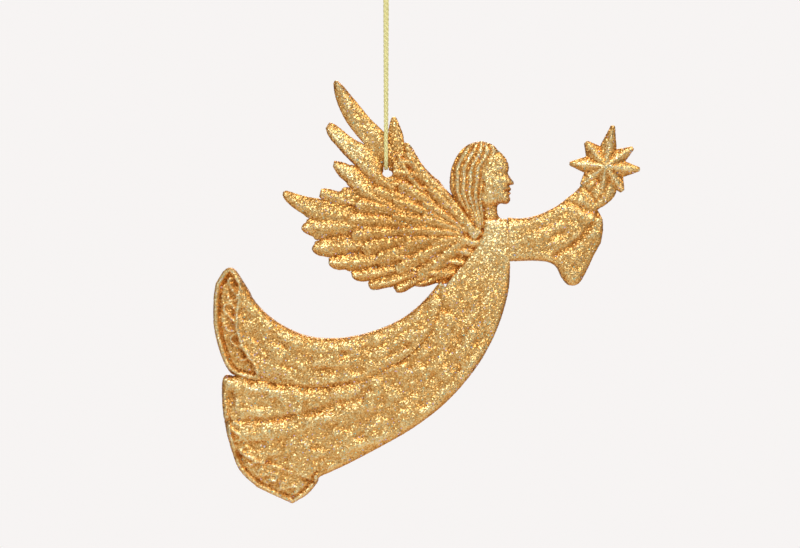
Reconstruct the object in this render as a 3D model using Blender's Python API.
"""Flying angel ornament: a two-sided gold relief that hangs on a braided thread looped through its wings.

Metres, +Z up, +X the way the angel flies, -Y the front. The origin is the hanging point, just under
the thread's knot. The figure's own outline points are in millimetres from the middle of the hole in the
wings, written as (x, z) for the size FIGURE_WIDTH by FIGURE_HEIGHT.
"""

import math

import bmesh
import bpy
import numpy as np

MM = 0.001

# Overall size of the moulded figure
FIGURE_WIDTH = 119.6
FIGURE_HEIGHT = 118.4

# Thickness, front to back, where each piece is thickest
CHEST_DEPTH = 6.4
SKIRT_DEPTH = 7.6
TRAIN_DEPTH = 6.4
HEM_DEPTH = 5.0
SLEEVE_DEPTH = 5.4
CUFF_DEPTH = 6.2
HAND_DEPTH = 4.4
HEAD_DEPTH = 6.6
HAIR_DEPTH = 8.4
FEATHER_DEPTH = 2.8
COVERT_DEPTH = 3.9
COVERT_DEPTH_AT_HOLE = 3.3
SHOULDER_COVERT_DEPTH = 5.0
STAR_DEPTH = 4.4
STAR_EDGE = 1.5

# Star
STAR_LONG_POINT = 10.7
STAR_SHORT_POINT = 8.9
STAR_VALLEY = 6.0
STAR_TILT = math.radians(7.5)
STAR_CENTRE = (60.7, 1.5)

# Thread and the hole it passes through
THREAD_DIAMETER = 1.2
THREAD_X = -0.6
THREAD_CROSSING_Z = 0.9
THREAD_TOP_SPREAD = 0.8
THREAD_TOP_TURN = 0.25
THREAD_DROP_POINTS = 18
THREAD_BEND_POINTS = 9
HANGING_HEIGHT = 55.0
HOLE_X = -0.2
HOLE_SPARE_WIDTH = 1.6
HOLE_SPARE_HEIGHT = 2.1
RECESS_SLOPE = math.radians(50)
RECESS_NECK = 0.5
KNOT_RADIUS = 1.9
KNOT_STRETCH = 1.15
KNOT_TAIL = 9.0
KNOT_TAIL_SPREAD = 2.6

# Clearances
SEAM = 0.3
SOCKET_FIT = 0.3
THREAD_PLAY = 0.35

THREAD_BEND_RADIUS = (COVERT_DEPTH_AT_HOLE + THREAD_DIAMETER) / 2 + THREAD_PLAY

# The size that the outline points below are drawn at
DRAWN_WIDTH = 119.6
DRAWN_HEIGHT = 118.4
STRETCH = (FIGURE_WIDTH / DRAWN_WIDTH, FIGURE_HEIGHT / DRAWN_HEIGHT)

# Seam between the skirt's front panel and its trailing back panel, from the waist to the hem
SKIRT_SEAM = (
    (16.0, -32.2), (14.8, -38.2), (11.9, -44.6), (7.0, -50.2), (0.0, -55.0),
    (-8.0, -58.6), (-17.0, -60.2), (-26.0, -59.9), (-35.0, -58.6), (-42.8, -57.1),
)

# Front of the gown from under the neck, down the breast and along the skirt's lower edge
GOWN_TOP_BACK = ((26.5, -13.3), (26.2, -16.6), (24.0, -21.4), (20.2, -26.6))
GOWN_TOP_FRONT = ((33.2, -13.2), (33.5, -16.4), (33.6, -21.6), (33.9, -27.4))
GOWN_FRONT = (
    (33.5, -33.5), (31.7, -40.7), (28.6, -48.4), (23.7, -56.3), (16.0, -65.0),
    (6.6, -72.1), (-2.9, -77.4), (-10.4, -81.2), (-16.4, -83.9), (-19.3, -85.3),
)
GOWN_HEM_BACK = ((-46.5, -57.8), (-46.7, -65.6), (-44.8, -74.5), (-41.7, -83.0), (-36.6, -88.0))
GOWN_HEM_FRONT = ((-20.0, -86.9), (-22.6, -90.0), (-24.9, -91.5), (-26.0, -92.5), (-26.9, -92.9))

# Outer edge of the trailing panel, opposite the seam, and its upturned end
TRAIN_OUTER = (
    (15.4, -30.8), (11.6, -35.0), (6.9, -39.2), (1.0, -42.6), (-6.5, -45.2),
    (-14.5, -46.5), (-22.0, -46.0), (-28.4, -43.6), (-33.8, -40.0), (-37.6, -36.1),
)
TRAIN_TIP_OUTER = ((-40.0, -32.0), (-42.0, -28.9), (-43.2, -27.2), (-44.9, -26.8), (-46.2, -27.6))
TRAIN_TIP_INNER = ((-45.4, -54.2), (-47.5, -49.0), (-48.9, -43.0), (-49.0, -36.0), (-48.2, -31.3))

# Sleeve, upper and lower edges from the shoulder to the bell of the cuff
SLEEVE_UPPER = (
    (33.8, -12.9), (37.0, -13.1), (41.0, -12.4), (44.8, -10.9), (48.2, -8.8), (51.4, -6.2),
    (54.0, -4.7), (56.6, -8.4), (58.7, -11.2), (59.9, -14.2), (60.2, -16.5),
)
SLEEVE_LOWER = (
    (34.1, -24.8), (37.0, -24.7), (40.8, -24.6), (44.3, -24.9), (47.0, -26.4), (48.5, -29.5),
    (50.6, -31.7), (53.3, -31.2), (55.3, -28.0), (57.4, -23.3), (59.3, -20.0),
)

# Forearm and hand, from inside the sleeve to the fingers round the star
HAND_UPPER = ((49.6, -10.4), (51.9, -6.9), (54.1, -3.2), (54.9, -0.6), (56.4, 1.0), (58.4, 1.4))
HAND_LOWER = ((53.4, -13.4), (56.0, -11.6), (59.9, -9.6), (62.6, -7.2), (63.7, -4.6), (63.6, -2.2))

# Head and neck: height, back, front and how wide as a share of the head's depth
HEAD_STATIONS = (
    (-12.9, 26.9, 31.0, 0.74), (-11.0, 26.9, 30.6, 0.70), (-9.2, 26.8, 30.7, 0.72),
    (-8.2, 26.0, 33.2, 0.80), (-7.3, 24.4, 34.4, 0.88), (-5.4, 22.4, 34.5, 0.95),
    (-3.2, 21.4, 34.1, 1.00), (-0.8, 21.0, 33.6, 1.00), (1.6, 21.2, 33.4, 0.98),
    (3.8, 22.0, 32.5, 0.90), (5.4, 23.2, 30.9, 0.74), (6.6, 24.8, 28.9, 0.46),
)
NOSE_LENGTH = 3.6
NOSE_RADIUS = 1.15
NOSE_ROOT = (33.5, 0.5)
NOSE_SLOPE = math.radians(30)

# Hair: height, back edge, hairline and how wide as a share of the hair's depth
HAIR_STATIONS = (
    (-17.0, 25.2, 25.9, 0.30), (-15.0, 24.2, 26.2, 0.44), (-12.0, 22.4, 26.4, 0.62),
    (-9.0, 20.5, 26.4, 0.78), (-6.4, 18.6, 26.6, 0.90), (-4.4, 17.7, 26.9, 0.96),
    (-2.0, 17.5, 27.3, 1.00), (0.5, 17.9, 28.2, 1.00), (3.0, 18.9, 30.2, 0.96),
    (5.4, 20.4, 31.0, 0.84), (7.2, 22.7, 29.7, 0.58), (8.1, 24.6, 27.7, 0.28),
)

# Flight feathers: where each leaves the coverts, its middle, its tip and its half width
FEATHER_STATIONS = (0.0, 0.3, 0.55, 0.75, 0.88, 0.96, 0.995)
FEATHER_TIP_DEPTH = 0.5
POINTED_TAPER = (2.4, 0.7)
ROUNDED_TAPER = (6.0, 0.5)
POINTED_FEATHERS = (
    ((2.5, 2.2), (-5.9, 10.3), (-15.0, 25.6), 3.6),
    ((0.5, -1.3), (-8.6, 5.1), (-17.2, 13.4), 3.6),
    ((1.0, -6.8), (-7.6, -2.4), (-15.3, 2.6), 3.5),
    ((-3.0, -14.0), (-16.5, -11.4), (-29.7, -6.0), 3.7),
)
ROUNDED_FEATHERS = (
    ((-2.0, -10.0), (-10.3, -7.8), (-18.9, -6.2), 2.6),
    ((-4.0, -17.0), (-14.0, -15.3), (-24.0, -15.4), 3.2),
    ((-2.0, -20.3), (-12.0, -20.4), (-21.0, -21.6), 3.1),
    ((0.0, -22.6), (-8.5, -24.0), (-16.5, -26.0), 2.9),
    ((3.0, -25.3), (-4.0, -26.9), (-10.3, -29.0), 2.8),
    ((6.0, -27.0), (0.0, -29.2), (-5.0, -31.6), 2.7),
    ((10.0, -28.3), (6.5, -30.4), (2.9, -32.9), 2.4),
    ((13.0, -27.8), (11.0, -29.7), (8.9, -31.4), 2.2),
)
FAR_FEATHERS = (
    ((7.0, -0.5), (2.8, 6.8), (1.5, 15.8), 2.8),
    ((10.5, -1.8), (7.2, 3.0), (5.4, 7.7), 2.0),
)

# Coverts: the broad plate that the flight feathers leave, and the thicker one over the shoulder
COVERTS_OUTER = (
    (-0.6, 5.2), (-6.0, -3.0), (-9.0, -10.0), (-9.0, -16.0), (-6.0, -21.5), (0.0, -26.5), (7.5, -29.6),
)
COVERTS_INNER = (
    (4.9, 4.8), (11.0, -0.8), (17.8, -6.4), (21.8, -11.3), (25.2, -17.6), (22.0, -24.6), (15.6, -30.2),
)
SHOULDER_OUTER = ((7.0, 1.8), (3.6, -4.0), (2.2, -10.0), (3.2, -16.0), (6.4, -21.8), (11.8, -26.6))
SHOULDER_INNER = ((9.0, 1.4), (14.0, -3.4), (20.0, -9.2), (24.6, -16.8), (21.8, -24.2), (16.2, -28.6))

GOLD = (0.62, 0.34, 0.07, 1)
PALE_GOLD = (0.80, 0.62, 0.24, 1)


def clear_scene():
    for obj in list(bpy.data.objects):
        bpy.data.objects.remove(obj, do_unlink=True)


def new_collection(name):
    collection = bpy.data.collections.new(name)
    bpy.context.scene.collection.children.link(collection)
    return collection


def gold_material(name, colour, roughness):
    material = bpy.data.materials.new(name)
    material.use_nodes = True
    shader = material.node_tree.nodes["Principled BSDF"]
    shader.inputs["Base Color"].default_value = colour
    shader.inputs["Metallic"].default_value = 1.0
    shader.inputs["Roughness"].default_value = roughness
    return material


def new_object(name, mesh, collection):
    obj = bpy.data.objects.new(name, mesh)
    collection.objects.link(obj)
    return obj


def closed_object(name, shape, collection):
    """The finished shape as an object, its faces turned to point out."""
    bmesh.ops.recalc_face_normals(shape, faces=shape.faces)
    if shape.calc_volume(signed=True) < 0:
        bmesh.ops.reverse_faces(shape, faces=shape.faces)
    mesh = bpy.data.meshes.new(name)
    shape.to_mesh(mesh)
    shape.free()
    return new_object(name, mesh, collection)


def hide_helper(obj):
    obj.hide_render = True
    obj.display_type = "WIRE"
    return obj


def through(points, steps):
    """A smooth curve through the points, with this many steps from each to the next."""
    known = np.array(points, float)
    slope = np.gradient(known, axis=0)
    at = np.linspace(0, len(known) - 1, steps * (len(known) - 1) + 1)
    span = np.minimum(at.astype(int), len(known) - 2)
    s = (at - span)[:, None]
    start = (1 + 2 * s) * (1 - s) ** 2 * known[span] + s * (1 - s) ** 2 * slope[span]
    end = s**2 * (3 - 2 * s) * known[span + 1] + s**2 * (s - 1) * slope[span + 1]
    return start + end


def shifted(points, distance):
    """The curve's points moved sideways, to the left of the way it runs."""
    known = np.array(points, float)
    along = np.gradient(known, axis=0)
    along /= np.linalg.norm(along, axis=1)[:, None]
    return known + distance * np.stack([-along[:, 1], along[:, 0]], axis=1)


def ring_loft(name, rings, collection):
    """A closed body through rings of points, each ring joined to the next and the two ends capped."""
    shape = bmesh.new()
    rows = [[shape.verts.new(point) for point in ring] for ring in rings]
    for near, far in zip(rows, rows[1:]):
        for i, corner in enumerate(near):
            j = (i + 1) % len(near)
            shape.faces.new((corner, near[j], far[j], far[i]))
    shape.faces.new(rows[0])
    shape.faces.new(rows[-1])
    return closed_object(name, shape, collection)


def oval(first, second, depth, sides, fullness, grow):
    """A ring across the figure, from one edge point to the other, rounded like a squared oval."""
    first = np.array(first) * STRETCH
    second = np.array(second) * STRETCH
    middle = (first + second) / 2
    half = (second - first) / 2
    half *= 1 + grow / np.linalg.norm(half)
    ring = []
    for i in range(sides):
        angle = 2 * math.pi * (i + 0.5) / sides
        across = math.copysign(abs(math.cos(angle)) ** (2 / fullness), math.cos(angle))
        out = math.copysign(abs(math.sin(angle)) ** (2 / fullness), math.sin(angle))
        x, z = middle + across * half
        ring.append((x * MM, out * (depth / 2 + grow) * MM, z * MM))
    return ring


def edge_loft(name, first, second, depths, collection, steps=2, sides=12, fullness=3.0, grow=0.0):
    """A body that fills the figure between two edges whose points face each other in pairs."""
    first = through(first, steps)
    second = through(second, steps)
    depth = np.interp(np.linspace(0, 1, len(first)), np.linspace(0, 1, len(depths)), depths)
    if grow:
        for edge in (first, second):
            edge[0], edge[-1] = edge[0] + end_step(edge, 0, grow), edge[-1] + end_step(edge, -1, grow)
    rows = [oval(a, b, d, sides, fullness, grow) for a, b, d in zip(first, second, depth)]
    return ring_loft(name, rows, collection)


def end_step(points, end, distance):
    """The step that carries an end of the curve further out by the distance."""
    step = points[0] - points[1] if end == 0 else points[-1] - points[-2]
    return step * distance / np.linalg.norm(step)


def level_loft(name, stations, depth, collection, sides=14, fullness=2.2, grow=0.0):
    """A body built of level slices: height, back, front and share of the depth."""
    rows = []
    for z, back, front, share in through(stations, 1):
        ring = oval((back, z), (front, z), depth * share, sides, fullness, grow)
        rows.append(ring)
    return ring_loft(name, rows, collection)


def feather(name, start, middle, tip, half_width, pointed, collection):
    """A blade that bends through its middle and thins towards its tip."""
    start, middle, tip = np.array(start), np.array(middle), np.array(tip)
    control = 2 * middle - (start + tip) / 2
    power, end_shape = POINTED_TAPER if pointed else ROUNDED_TAPER
    rows = []
    for t in FEATHER_STATIONS:
        place = (1 - t) ** 2 * start + 2 * t * (1 - t) * control + t**2 * tip
        along = (1 - t) * (control - start) + t * (tip - control)
        side = np.array((-along[1], along[0])) / np.linalg.norm(along)
        half = half_width * (1 - t**power) ** end_shape
        thickness = FEATHER_DEPTH * (1 - (1 - FEATHER_TIP_DEPTH) * t**2)
        rows.append(oval(place + side * half, place - side * half, thickness, 8, 2.0, 0.0))
    return ring_loft(name, rows, collection)


def boolean(body, other, operation, name):
    cut = body.modifiers.new(name, "BOOLEAN")
    cut.operation = operation
    cut.object = other
    cut.solver = "EXACT"


def box_cutter(name, low, high, collection):
    """A plain block between two corners, in metres."""
    shape = bmesh.new()
    bmesh.ops.create_cube(shape, size=1.0)
    low, high = np.array(low), np.array(high)
    for vertex in shape.verts:
        vertex.co = (low + high) / 2 + np.array(vertex.co) * (high - low)
    return hide_helper(closed_object(name, shape, collection))


def applied(obj):
    """The object with its modifiers made part of its mesh."""
    graph = bpy.context.evaluated_depsgraph_get()
    mesh = bpy.data.meshes.new_from_object(obj.evaluated_get(graph))
    obj.modifiers.clear()
    obj.data = mesh
    return obj


def set_on_pivot(obj, pivot, material):
    """Rests the piece's origin on the joint axis and gives it its finish."""
    for vertex in obj.data.vertices:
        vertex.co.x -= THREAD_X * MM
        vertex.co.z -= THREAD_CROSSING_Z * MM
    obj.parent = pivot
    obj.data.materials.clear()
    obj.data.materials.append(material)
    obj.data.shade_smooth()
    obj.data.set_sharp_from_angle(angle=math.radians(40))


def make_gown(name, collection, grow=0.0):
    """The bodice and the skirt's front panel, its back edge lying along the skirt seam."""
    back = (*GOWN_TOP_BACK, *shifted(SKIRT_SEAM, SEAM / 2), *GOWN_HEM_BACK)
    front = (*GOWN_TOP_FRONT, *GOWN_FRONT, *GOWN_HEM_FRONT)
    depths = (CHEST_DEPTH, CHEST_DEPTH, SKIRT_DEPTH, SKIRT_DEPTH, SKIRT_DEPTH, HEM_DEPTH)
    return edge_loft(name, back, front, depths, collection, fullness=3.2, grow=grow)


def make_train(name, collection):
    """The skirt's back panel, which trails behind and turns up at its end."""
    outer = (*TRAIN_OUTER, *TRAIN_TIP_OUTER)
    inner = (*shifted(SKIRT_SEAM, -SEAM / 2), *TRAIN_TIP_INNER)
    depths = (TRAIN_DEPTH * 0.8, TRAIN_DEPTH, TRAIN_DEPTH, HEM_DEPTH)
    return edge_loft(name, outer, inner, depths, collection, fullness=3.2)


def make_hand(name, collection, grow=0.0):
    depths = (HAND_DEPTH * 0.85, HAND_DEPTH, HAND_DEPTH, HAND_DEPTH * 0.8)
    return edge_loft(name, HAND_UPPER, HAND_LOWER, depths, collection, fullness=2.4, grow=grow)


def make_sleeve(name, collection):
    depths = (SLEEVE_DEPTH, SLEEVE_DEPTH, CUFF_DEPTH, CUFF_DEPTH, HEM_DEPTH)
    return edge_loft(name, SLEEVE_UPPER, SLEEVE_LOWER, depths, collection, fullness=2.8)


def make_head(name, collection, grow=0.0):
    return level_loft(name, HEAD_STATIONS, HEAD_DEPTH, collection, grow=grow)


def make_hair(name, collection):
    return level_loft(name, HAIR_STATIONS, HAIR_DEPTH, collection)


def make_nose(name, collection):
    """A small tapered nose, set into the face."""
    shape = bmesh.new()
    bmesh.ops.create_cone(
        shape, cap_ends=True, segments=8, radius1=NOSE_RADIUS * MM, radius2=NOSE_RADIUS * MM / 4,
        depth=NOSE_LENGTH * MM,
    )
    nose = closed_object(name, shape, collection)
    nose.rotation_euler.y = -NOSE_SLOPE
    nose.location.x = NOSE_ROOT[0] * STRETCH[0] * MM
    nose.location.z = (NOSE_ROOT[1] * STRETCH[1] - NOSE_LENGTH / 2) * MM
    return hide_helper(nose)


def make_star(name, collection, grow=0.0):
    """Eight points, long and short in turn, each with a ridge that runs out from the middle."""
    shape = bmesh.new()
    bmesh.ops.create_cone(shape, cap_ends=False, segments=16, radius1=1.0, radius2=0.0, depth=1.0)
    rim = [vertex for vertex in shape.verts if vertex.co.z < 0]
    for vertex in rim:
        angle = math.atan2(vertex.co.y, vertex.co.x)
        step = round(angle / (math.pi / 8)) % 16
        reach = STAR_VALLEY if step % 2 else (STAR_SHORT_POINT if step % 4 else STAR_LONG_POINT)
        vertex.co.x = math.cos(angle) * (reach + grow)
        vertex.co.y = math.sin(angle) * (reach + grow)
        vertex.co.z = STAR_EDGE / 2 + grow
    for vertex in set(shape.verts) - set(rim):
        vertex.co.z = STAR_DEPTH / 2 + grow
    ring = [edge for edge in shape.edges if edge.is_boundary]
    wall = bmesh.ops.extrude_edge_only(shape, edges=ring)
    for item in wall["geom"]:
        if isinstance(item, bmesh.types.BMVert):
            item.co.z = 0
    bmesh.ops.remove_doubles(shape, verts=shape.verts, dist=1e-6)
    other = bmesh.ops.duplicate(shape, geom=shape.verts[:] + shape.edges[:] + shape.faces[:])
    for item in other["geom"]:
        if isinstance(item, bmesh.types.BMVert):
            item.co.z = -item.co.z
    bmesh.ops.remove_doubles(shape, verts=shape.verts, dist=1e-6)
    centre = np.array(STAR_CENTRE) * STRETCH
    for vertex in shape.verts:
        x, z, y = vertex.co * MM
        turned = (
            x * math.cos(STAR_TILT) + z * math.sin(STAR_TILT),
            z * math.cos(STAR_TILT) - x * math.sin(STAR_TILT),
        )
        vertex.co = (centre[0] * MM + turned[0], y, centre[1] * MM + turned[1])
    return closed_object(name, shape, collection)


def make_fan(name, feathers, parts, cutters):
    """Both wings' coverts and feathers joined through the figure's whole depth."""
    depths = (COVERT_DEPTH_AT_HOLE, COVERT_DEPTH_AT_HOLE, COVERT_DEPTH, COVERT_DEPTH, COVERT_DEPTH)
    fan = edge_loft(name, COVERTS_OUTER, COVERTS_INNER, depths, parts, sides=10)
    depths = (COVERT_DEPTH_AT_HOLE, SHOULDER_COVERT_DEPTH, SHOULDER_COVERT_DEPTH)
    joined = [edge_loft(name + "_shoulder", SHOULDER_OUTER, SHOULDER_INNER, depths, cutters, sides=10)]
    for i, (start, middle, tip, half_width, pointed) in enumerate(feathers):
        blade = feather(f"{name}_feather_{i}", start, middle, tip, half_width, pointed, cutters)
        joined.append(blade)
    for blade in joined:
        boolean(fan, hide_helper(blade), "UNION", blade.name)
    return fan


def make_hole_cutter(collection):
    """The tall hole and, above it, the recess that lets the thread turn out of it on both sides."""
    sides = 16
    width = THREAD_DIAMETER + HOLE_SPARE_WIDTH
    height = THREAD_DIAMETER + HOLE_SPARE_HEIGHT + THREAD_PLAY
    top = THREAD_CROSSING_Z + THREAD_DIAMETER / 2 + THREAD_PLAY
    rows = []
    for y in (-SHOULDER_COVERT_DEPTH, -RECESS_NECK, RECESS_NECK, SHOULDER_COVERT_DEPTH):
        flare = (abs(y) - RECESS_NECK) * math.tan(RECESS_SLOPE)
        ring = []
        for i in range(sides):
            angle = 2 * math.pi * i / sides
            x = HOLE_X + math.cos(angle) * (width / 2 + flare / 4)
            z = top - height / 2 + math.sin(angle) * width / 2
            z += math.copysign((height - width) / 2, math.sin(angle))
            z += flare * max(0.0, math.sin(angle))
            ring.append((x * MM, y * MM, z * MM))
        rows.append(ring)
    return hide_helper(ring_loft("hole_cutter", rows, collection))


def thread_route():
    """The thread's centre line from the knot down in front, through the hole and up behind, in metres."""
    turn_z = THREAD_CROSSING_Z + THREAD_BEND_RADIUS - HANGING_HEIGHT
    front = []
    for i in range(THREAD_DROP_POINTS):
        share = i / THREAD_DROP_POINTS
        spread = THREAD_TOP_SPREAD + share * (THREAD_BEND_RADIUS - THREAD_TOP_SPREAD)
        front.append((-THREAD_TOP_TURN * (1 - share), -spread, share * turn_z))
    bend = []
    for i in range(THREAD_BEND_POINTS):
        angle = math.pi * i / (THREAD_BEND_POINTS - 1)
        y = -THREAD_BEND_RADIUS * math.cos(angle)
        bend.append((0, y, turn_z - THREAD_BEND_RADIUS * math.sin(angle)))
    back = [(-x, -y, z) for x, y, z in reversed(front)]
    return [(x * MM, y * MM, z * MM) for x, y, z in front + bend + back]


def tube(name, points, diameter, collection):
    """A round cord along the points, closed at its ends, as a mesh."""
    curve = bpy.data.curves.new(name, "CURVE")
    curve.dimensions = "3D"
    curve.bevel_depth = diameter / 2
    curve.bevel_resolution = 2
    curve.use_fill_caps = True
    spline = curve.splines.new("POLY")
    spline.points.add(len(points) - 1)
    for point, place in zip(spline.points, points):
        point.co = (*place, 1)
    return new_object(name, curve, collection)


def as_mesh(obj, collection):
    """The curve's tube as a mesh of the same name, with its caps welded on."""
    graph = bpy.context.evaluated_depsgraph_get()
    mesh = bpy.data.meshes.new_from_object(obj.evaluated_get(graph))
    shape = bmesh.new()
    shape.from_mesh(mesh)
    bmesh.ops.remove_doubles(shape, verts=shape.verts, dist=1e-6)
    shape.to_mesh(mesh)
    shape.free()
    name = obj.name
    bpy.data.objects.remove(obj, do_unlink=True)
    return new_object(name, mesh, collection)


def make_knot(parts, cutters):
    """The overhand knot that closes the loop, with the thread's two trimmed tails."""
    shape = bmesh.new()
    bmesh.ops.create_uvsphere(shape, u_segments=14, v_segments=9, radius=KNOT_RADIUS * MM)
    middle = KNOT_RADIUS * KNOT_STRETCH + SEAM
    for vertex in shape.verts:
        vertex.co.z = vertex.co.z * KNOT_STRETCH + middle * MM
    knot = closed_object("cord_knot", shape, parts)
    for side in (-1, 1):
        points = []
        for i in range(6):
            share = i / 5
            x = side * (THREAD_DIAMETER / 3 + KNOT_TAIL_SPREAD * share**1.5)
            points.append((x * MM, 0, (middle + KNOT_TAIL * share) * MM))
        tail = as_mesh(tube(f"tail_{side}", points, THREAD_DIAMETER * MM, cutters), cutters)
        boolean(knot, hide_helper(tail), "UNION", tail.name)
    return knot


def make_wing(name, feathers, low, high, gown_room, hole, parts, cutters):
    """The part of the fan between two depths, fitted round the gown and pierced for the thread."""
    wing = make_fan(name, feathers, parts, cutters)
    boolean(wing, gown_room, "DIFFERENCE", "gown_room")
    boolean(wing, hole, "DIFFERENCE", "thread_hole")
    reach = FIGURE_WIDTH * MM
    kept = box_cutter(name + "_half", (-reach, low * MM, -reach), (reach, high * MM, reach), cutters)
    boolean(wing, kept, "INTERSECT", "kept_half")
    return wing


def make_figure(parts, cutters):
    """The moulded pieces, drawn round the middle of the hole in the wings."""
    gown = make_gown("gown", parts)
    train = make_train("gown_train", parts)
    hand = make_hand("hand", parts)
    sleeve = make_sleeve("sleeve", parts)
    head = make_head("head", parts)
    hair = make_hair("hair", parts)
    star = make_star("star", parts)
    boolean(sleeve, hide_helper(make_hand("hand_room", cutters, SOCKET_FIT)), "DIFFERENCE", "hand_socket")
    boolean(hand, hide_helper(make_star("star_room", cutters, SOCKET_FIT)), "DIFFERENCE", "star_seat")
    boolean(hair, hide_helper(make_head("head_room", cutters, SEAM)), "DIFFERENCE", "head_room")
    boolean(head, make_nose("nose", cutters), "UNION", "nose")

    gown_room = hide_helper(make_gown("gown_room", cutters, SEAM))
    hole = make_hole_cutter(cutters)
    near = [(*f, True) for f in POINTED_FEATHERS] + [(*f, False) for f in ROUNDED_FEATHERS]
    far = near + [(*f, True) for f in FAR_FEATHERS]
    deep = SHOULDER_COVERT_DEPTH
    front = make_wing("front_wing", near, -deep, -SEAM / 2, gown_room, hole, parts, cutters)
    rear = make_wing("rear_wing", far, SEAM / 2, deep, gown_room, hole, parts, cutters)
    return gown, train, hand, sleeve, head, hair, star, front, rear


def main():
    clear_scene()
    parts = new_collection("angel_ornament")
    cutters = new_collection("cutters")

    hang = bpy.data.objects.new("hanging_point", None)
    pivot = bpy.data.objects.new("thread_bend", None)
    for empty in (hang, pivot):
        parts.objects.link(empty)
    pivot.parent = hang
    pivot.location.z = -(HANGING_HEIGHT - THREAD_CROSSING_Z) * MM

    figure = make_figure(parts, cutters)
    bpy.context.view_layer.update()
    for piece in figure:
        set_on_pivot(applied(piece), pivot, gold_material("gold_" + piece.name, GOLD, 0.4))

    cord = tube("hanging_cord", thread_route(), THREAD_DIAMETER * MM, parts)
    knot = make_knot(parts, cutters)
    for piece in (cord, knot):
        piece.parent = hang
        piece.data.materials.append(gold_material("gold_" + piece.name, PALE_GOLD, 0.35))


main()
